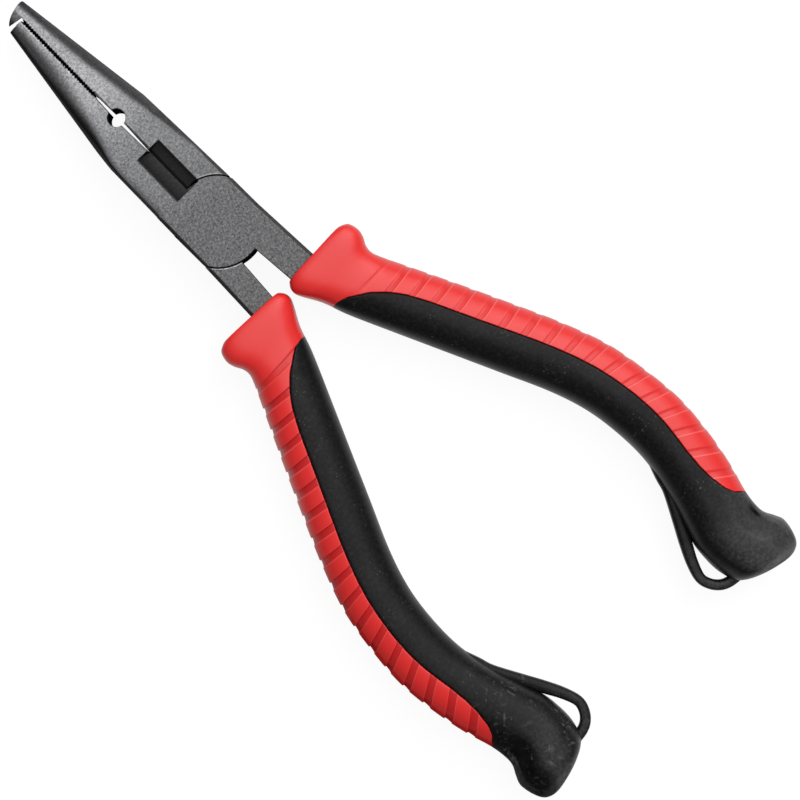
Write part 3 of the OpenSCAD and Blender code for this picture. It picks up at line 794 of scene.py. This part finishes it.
def leanOf(t):
    # how far a row of points runs back along the handle from its outer end to its inner end
    step = ribs["slantStep"]
    here, there = station(max(0, t - step)), station(t + step)
    dx = (there[0] + there[2] - here[0] - here[2]) / (4 * step)
    dy = (there[1] + there[3] - here[1] - here[3]) / (4 * step)
    row = station(t)
    wx, wy = row[2] - row[0], row[3] - row[1]
    w = sqrt(wx * wx + wy * wy)
    speed = abs(dx * wy - dy * wx) / w
    return tan(radians(ribs["slant"])) * w / max(ribs["slowest"], speed) * smoothStep(*ribs["slantStart"], t)


def redEnd(t, lean):
    # share of the width at which a row meets the parting line
    if partingShare(t - lean) >= 1:
        return 1
    low, high = 0, 1
    for step in range(ribs["halvings"]):
        middle = (low + high) / 2
        if middle < partingShare(t - lean * middle):
            low = middle
        else:
            high = middle
    return low


def sectionShares(start, end, count, power):
    # shares across the width, closer together near the edges of the oval
    def turn(share):
        c = 1 - 2 * min(1, max(0, share))
        flat = abs(c) ** (power / 2)
        return atan2(sqrt(max(0, 1 - flat * flat)), flat if c >= 0 else -flat)
    first, last = turn(start), turn(end)
    shares = []
    for i in range(count + 1):
        flat = cos(first + (last - first) * i / count)
        c = abs(flat) ** (2 / power) * (1 if flat >= 0 else -1)
        shares.append((1 - c) / 2)
    return shares


def redRing(t, depth):
    lean, w, power, rounding = leanOf(t), width(t), squareness(t), ribs["rounding"]
    end = redEnd(t, lean)
    if end < 1:
        edge = end - handle["seam"] / w
        last = max(0, edge - rounding / w)
        inner = [(max(0, edge - f * rounding / w), drop * rounding) for f, drop in handle["fillet"]]
    else:
        # the guard is red all round
        edge = 1
        last = guard["innerShare"] - guard["innerDrop"] * smoothStep(*guard["innerEnd"], t)
        inner = [(u, 0) for u in sectionShares(last, 1, guard["innerPoints"], power)[1:]]
    points = [(u, 0) for u in sectionShares(0, last, ribs["points"], power)] + inner
    ring = []
    for side in (1, -1):
        line = []
        for u, drop in points:
            sink = depth
            if t > ribs["fadeStation"]:
                sink *= 1 - ribs["innerFade"] * smoothStep(ribs["fadeFrom"], 1, u / max(edge, 0.01))
            line.append(skin(t - lean * u, u, side, sink, drop))
        ring += line if side < 0 else line[::-1][:-1]
    return ring


def makeRedBack(side):
    rows = backRows(side)
    rings = [redRing(t, depth) for t, depth, shade in rows]
    return wrap(side + "Back", rings, [[shade] * len(rings[0]) for t, depth, shade in rows])


# Grips: black rubber from the parting line to the inner edge, and the whole heel

grip = {
    "rounding": 0.5, "points": 34,
    "frontStations": (5.385, 5.39, 5.4, 5.41, 5.42, 5.45, 5.5, 5.55, 5.62, 5.7, 5.8, 5.9),
    "sideStart": 6, "sideStep": 0.07, "sideRows": 144, "heelStart": 16.06, "heelStep": 0.08, "heelRows": 81,
    "outerShares": (0, 0.0003, 0.0007, 0.0012, 0.002), "outerEnd": 0.003,
    # rolled end: station, and how far the section shrinks
    "endRoll": ((22.55, 0.02), (22.65, 0.08), (22.75, 0.2), (22.85, 0.42), (22.93, 0.75), (23, 1.3)),
    # hollow behind the waist and along the heel, inside its outer rim
    "hollowFrom": 14.5, "hollow": 1.0, "hollowStart": (16.2, 17.6), "hollowEnd": (20.8, 22.4),
    "waist": 1.2, "waistAt": (17.3, 0.8), "hollowOuter": (0.03, 0.12), "hollowInner": (0.12, 0.42),
    # painted highlight on the rubber: the rolled end and the heel's outer rim
    "rolledAt": (22.1, 0.6), "rimAt": (19.2, 1.6), "rimAcross": (0.035, 0.045),
}


def heelDrop(t, across):
    deep = grip["hollow"] * smoothStep(*grip["hollowStart"], t) * (1 - smoothStep(*grip["hollowEnd"], t))
    deep += grip["waist"] * swell(t, *grip["waistAt"])
    return deep * smoothStep(*grip["hollowOuter"], across) * (1 - smoothStep(*grip["hollowInner"], across))


def heelRim(t, across):
    return max(swell(t, *grip["rolledAt"]), swell(t, *grip["rimAt"]) * swell(across, *grip["rimAcross"]))


def blackRing(t, sink=0.0):
    # points of a section, each with its share of painted rim highlight
    share, w, rounding = partingShare(t), width(t), grip["rounding"]
    if share > 0:
        edge = share + handle["seam"] / w
        start = min(1, edge + rounding / w)
        points = [(min(1, edge + f * rounding / w), drop * rounding) for f, drop in handle["fillet"][::-1]]
    else:
        # the heel is black all round
        start = grip["outerEnd"]
        points = [(u, 0) for u in grip["outerShares"]]
    points += [(u, 0) for u in sectionShares(start, 1, grip["points"], squareness(t))]
    ring = []
    for side in (1, -1):
        line = []
        for u, drop in points:
            hollow = heelDrop(t, u) if t > grip["hollowFrom"] else 0
            line.append((skin(t, u, side, sink, drop + hollow), heelRim(t, u)))
        ring += line if side > 0 else line[::-1][1:]
    return ring


def makeBlackGrip():
    stations = list(grip["frontStations"])
    stations += [grip["sideStart"] + grip["sideStep"] * i for i in range(grip["sideRows"])]
    stations += [grip["heelStart"] + grip["heelStep"] * i for i in range(grip["heelRows"])]
    rings = [blackRing(t) for t in stations] + [blackRing(t, sink) for t, sink in grip["endRoll"]]
    return wrap("rightGrip", [[point for point, rim in ring] for ring in rings],
                [[rim for point, rim in ring] for ring in rings], "rim")


def flip(piece):
    edit(piece)
    bpy.ops.transform.resize(value=(-1, 1, 1), center_override=(0, 0, 0))
    bpy.ops.mesh.normals_make_consistent(inside=False)
    bpy.ops.object.mode_set(mode="OBJECT")


def mirrorPiece(piece, name):
    activate(piece)
    bpy.ops.object.duplicate()
    other = bpy.context.object
    other.name = name
    flip(other)
    return other


rightBack = makeRedBack("right")
leftBack = makeRedBack("left")
rightGrip = makeBlackGrip()
for piece in (rightBack, leftBack, rightGrip):
    smoothByAngle(piece, handle["smooth"])
flip(leftBack)
leftGrip = mirrorPiece(rightGrip, "leftGrip")
print("handles made")

# Lanyard loops: a rounded strip along the middle line of the loop, in mm, with its width at each point

loops = {
    "path": (
        (27.4, -69.5, 1.6), (26.3, -73.4, 1.9), (25.0, -77.4, 2.1), (24.1, -80.3, 2.1), (21.6, -85.2, 2.2),
        (19.6, -89.2, 2.5), (17.7, -92.9, 2.3), (16.6, -96.2, 2.1), (17.1, -98.4, 2.1), (18.4, -100, 2.1),
        (20.1, -100.8, 2.1), (22.4, -101.1, 2.1)),
    "thickness": 3.0, "roundness": 0.6, "steps": 8, "lookAhead": 0.05, "sides": 24, "smooth": 50,
}


def boxed(value):
    # brings a circle's sine or cosine nearer to a box's
    return abs(value) ** loops["roundness"] * (1 if value >= 0 else -1)


def makeLoop(name):
    # one rounded ring for each step along the path
    path, high = loops["path"], loops["thickness"] / 2
    last = len(path) - 1
    rings = []
    for k in range(last * loops["steps"] + 1):
        t = k / loops["steps"]
        x, y, w = splineAt(path, t)
        x0, y0 = splineAt(path, max(0, t - loops["lookAhead"]))[:2]
        x1, y1 = splineAt(path, min(last, t + loops["lookAhead"]))[:2]
        length = sqrt((x1 - x0) ** 2 + (y1 - y0) ** 2)
        nx, ny = -(y1 - y0) / length, (x1 - x0) / length
        ring = []
        for i in range(loops["sides"]):
            angle = 2 * pi * i / loops["sides"]
            across, up = boxed(cos(angle)) * w / 2, boxed(sin(angle)) * high
            ring.append(Vector((x + nx * across, y + handle["front"] + ny * across, midZ + up)))
        rings.append(ring)
    piece = wrap(name, rings)
    smoothByAngle(piece, loops["smooth"])
    return piece


rightLoop = makeLoop("rightLoop")
leftLoop = mirrorPiece(rightLoop, "leftLoop")
print("loops made")

settle(rightBack, "front_body", "red_plastic", redFinish, "right_core")
settle(leftBack, "rear_body", "red_plastic", redFinish, "left_core")
settle(rightGrip, "front_body", "black_rubber", blackFinish, "right_grip")
settle(leftGrip, "rear_body", "black_rubber", blackFinish, "left_grip")
settle(rightLoop, "front_body", "black_rubber", blackFinish, "right_lanyard_loop")
settle(leftLoop, "rear_body", "black_rubber", blackFinish, "left_lanyard_loop")

# Studio: white floor that keeps a faint shadow, soft light from above, camera square over the pliers

studio = {
    "floorZ": -2.3 * mm, "floorSize": 8, "floorGlow": 0.92, "floorGrey": 0.12, "world": 0.31, "worldGloss": 0.25,
    # place, width, length away from the pliers' axis, power
    "lamps": (((0.62, 0.1, 0.42), 0.5, 0.5, 1.9), ((0.3, 0, 0.88), 0.5, 0.9, 5.4)), "lampAim": (0, -0.04, 0),
    "target": (0.3, -48.4), "distance": 570, "across": 153.24, "turn": 45.25, "sensor": 36,
}


def makeFloor():
    clearSelection()
    bpy.ops.mesh.primitive_plane_add(size=studio["floorSize"], location=(0, 0, studio["floorZ"]))
    floorPlane = bpy.context.object
    floorPlane.name = "floor"
    cover = Finish(bpy.data.materials.new("floorCover"))
    seen = cover.add("ShaderNodeLightPath", output="Is Camera Ray")
    seen = seen + cover.add("ShaderNodeLightPath", output="Is Glossy Ray")
    glow = cover.add("ShaderNodeEmission", {}, {"Strength": seen * studio["floorGlow"]})
    grey = studio["floorGrey"]
    matt = cover.add("ShaderNodeBsdfDiffuse", {}, {"Color": (grey, grey, grey, 1)})
    cover.show(cover.add("ShaderNodeAddShader", {}, {0: glow, 1: matt}))
    floorPlane.data.materials.append(cover.material)


def makeSky():
    # dimmer in reflections, as in a room behind the lamps
    sky = Finish(bpy.data.worlds.new("studio"))
    bpy.context.scene.world = sky.material
    mirrored = sky.add("ShaderNodeLightPath", output="Is Glossy Ray")
    background = sky.tree.nodes["Background"]
    background.inputs["Color"].default_value = (1, 1, 1, 1)
    sky.feed(background.inputs["Strength"], (mirrored * (studio["worldGloss"] - 1) + 1) * studio["world"])


def makeLamps():
    for i, (place, wide, long, power) in enumerate(studio["lamps"]):
        bpy.ops.object.light_add(type="AREA", location=place)
        lamp = bpy.context.object
        lamp.name = "softbox%d" % i
        lamp.data.shape = "RECTANGLE"
        lamp.data.size, lamp.data.size_y = wide, long
        lamp.data.energy = power
        aim = Vector(studio["lampAim"]) - Vector(place)
        lamp.rotation_euler = aim.to_track_quat("-Z", "Y").to_euler()
        lamp.visible_camera = False


def makeCamera():
    bpy.ops.object.camera_add()
    camera = bpy.context.object
    camera.data.sensor_width = studio["sensor"]
    camera.data.lens = studio["sensor"] * studio["distance"] / studio["across"]
    x, y = studio["target"]
    camera.location = (x * mm, y * mm, (midZ + studio["distance"]) * mm)
    camera.rotation_euler = (0, 0, radians(-studio["turn"]))
    bpy.context.scene.camera = camera
    bpy.context.scene.view_settings.view_transform = "Standard"


makeFloor()
makeSky()
makeLamps()
makeCamera()
print("studio made")
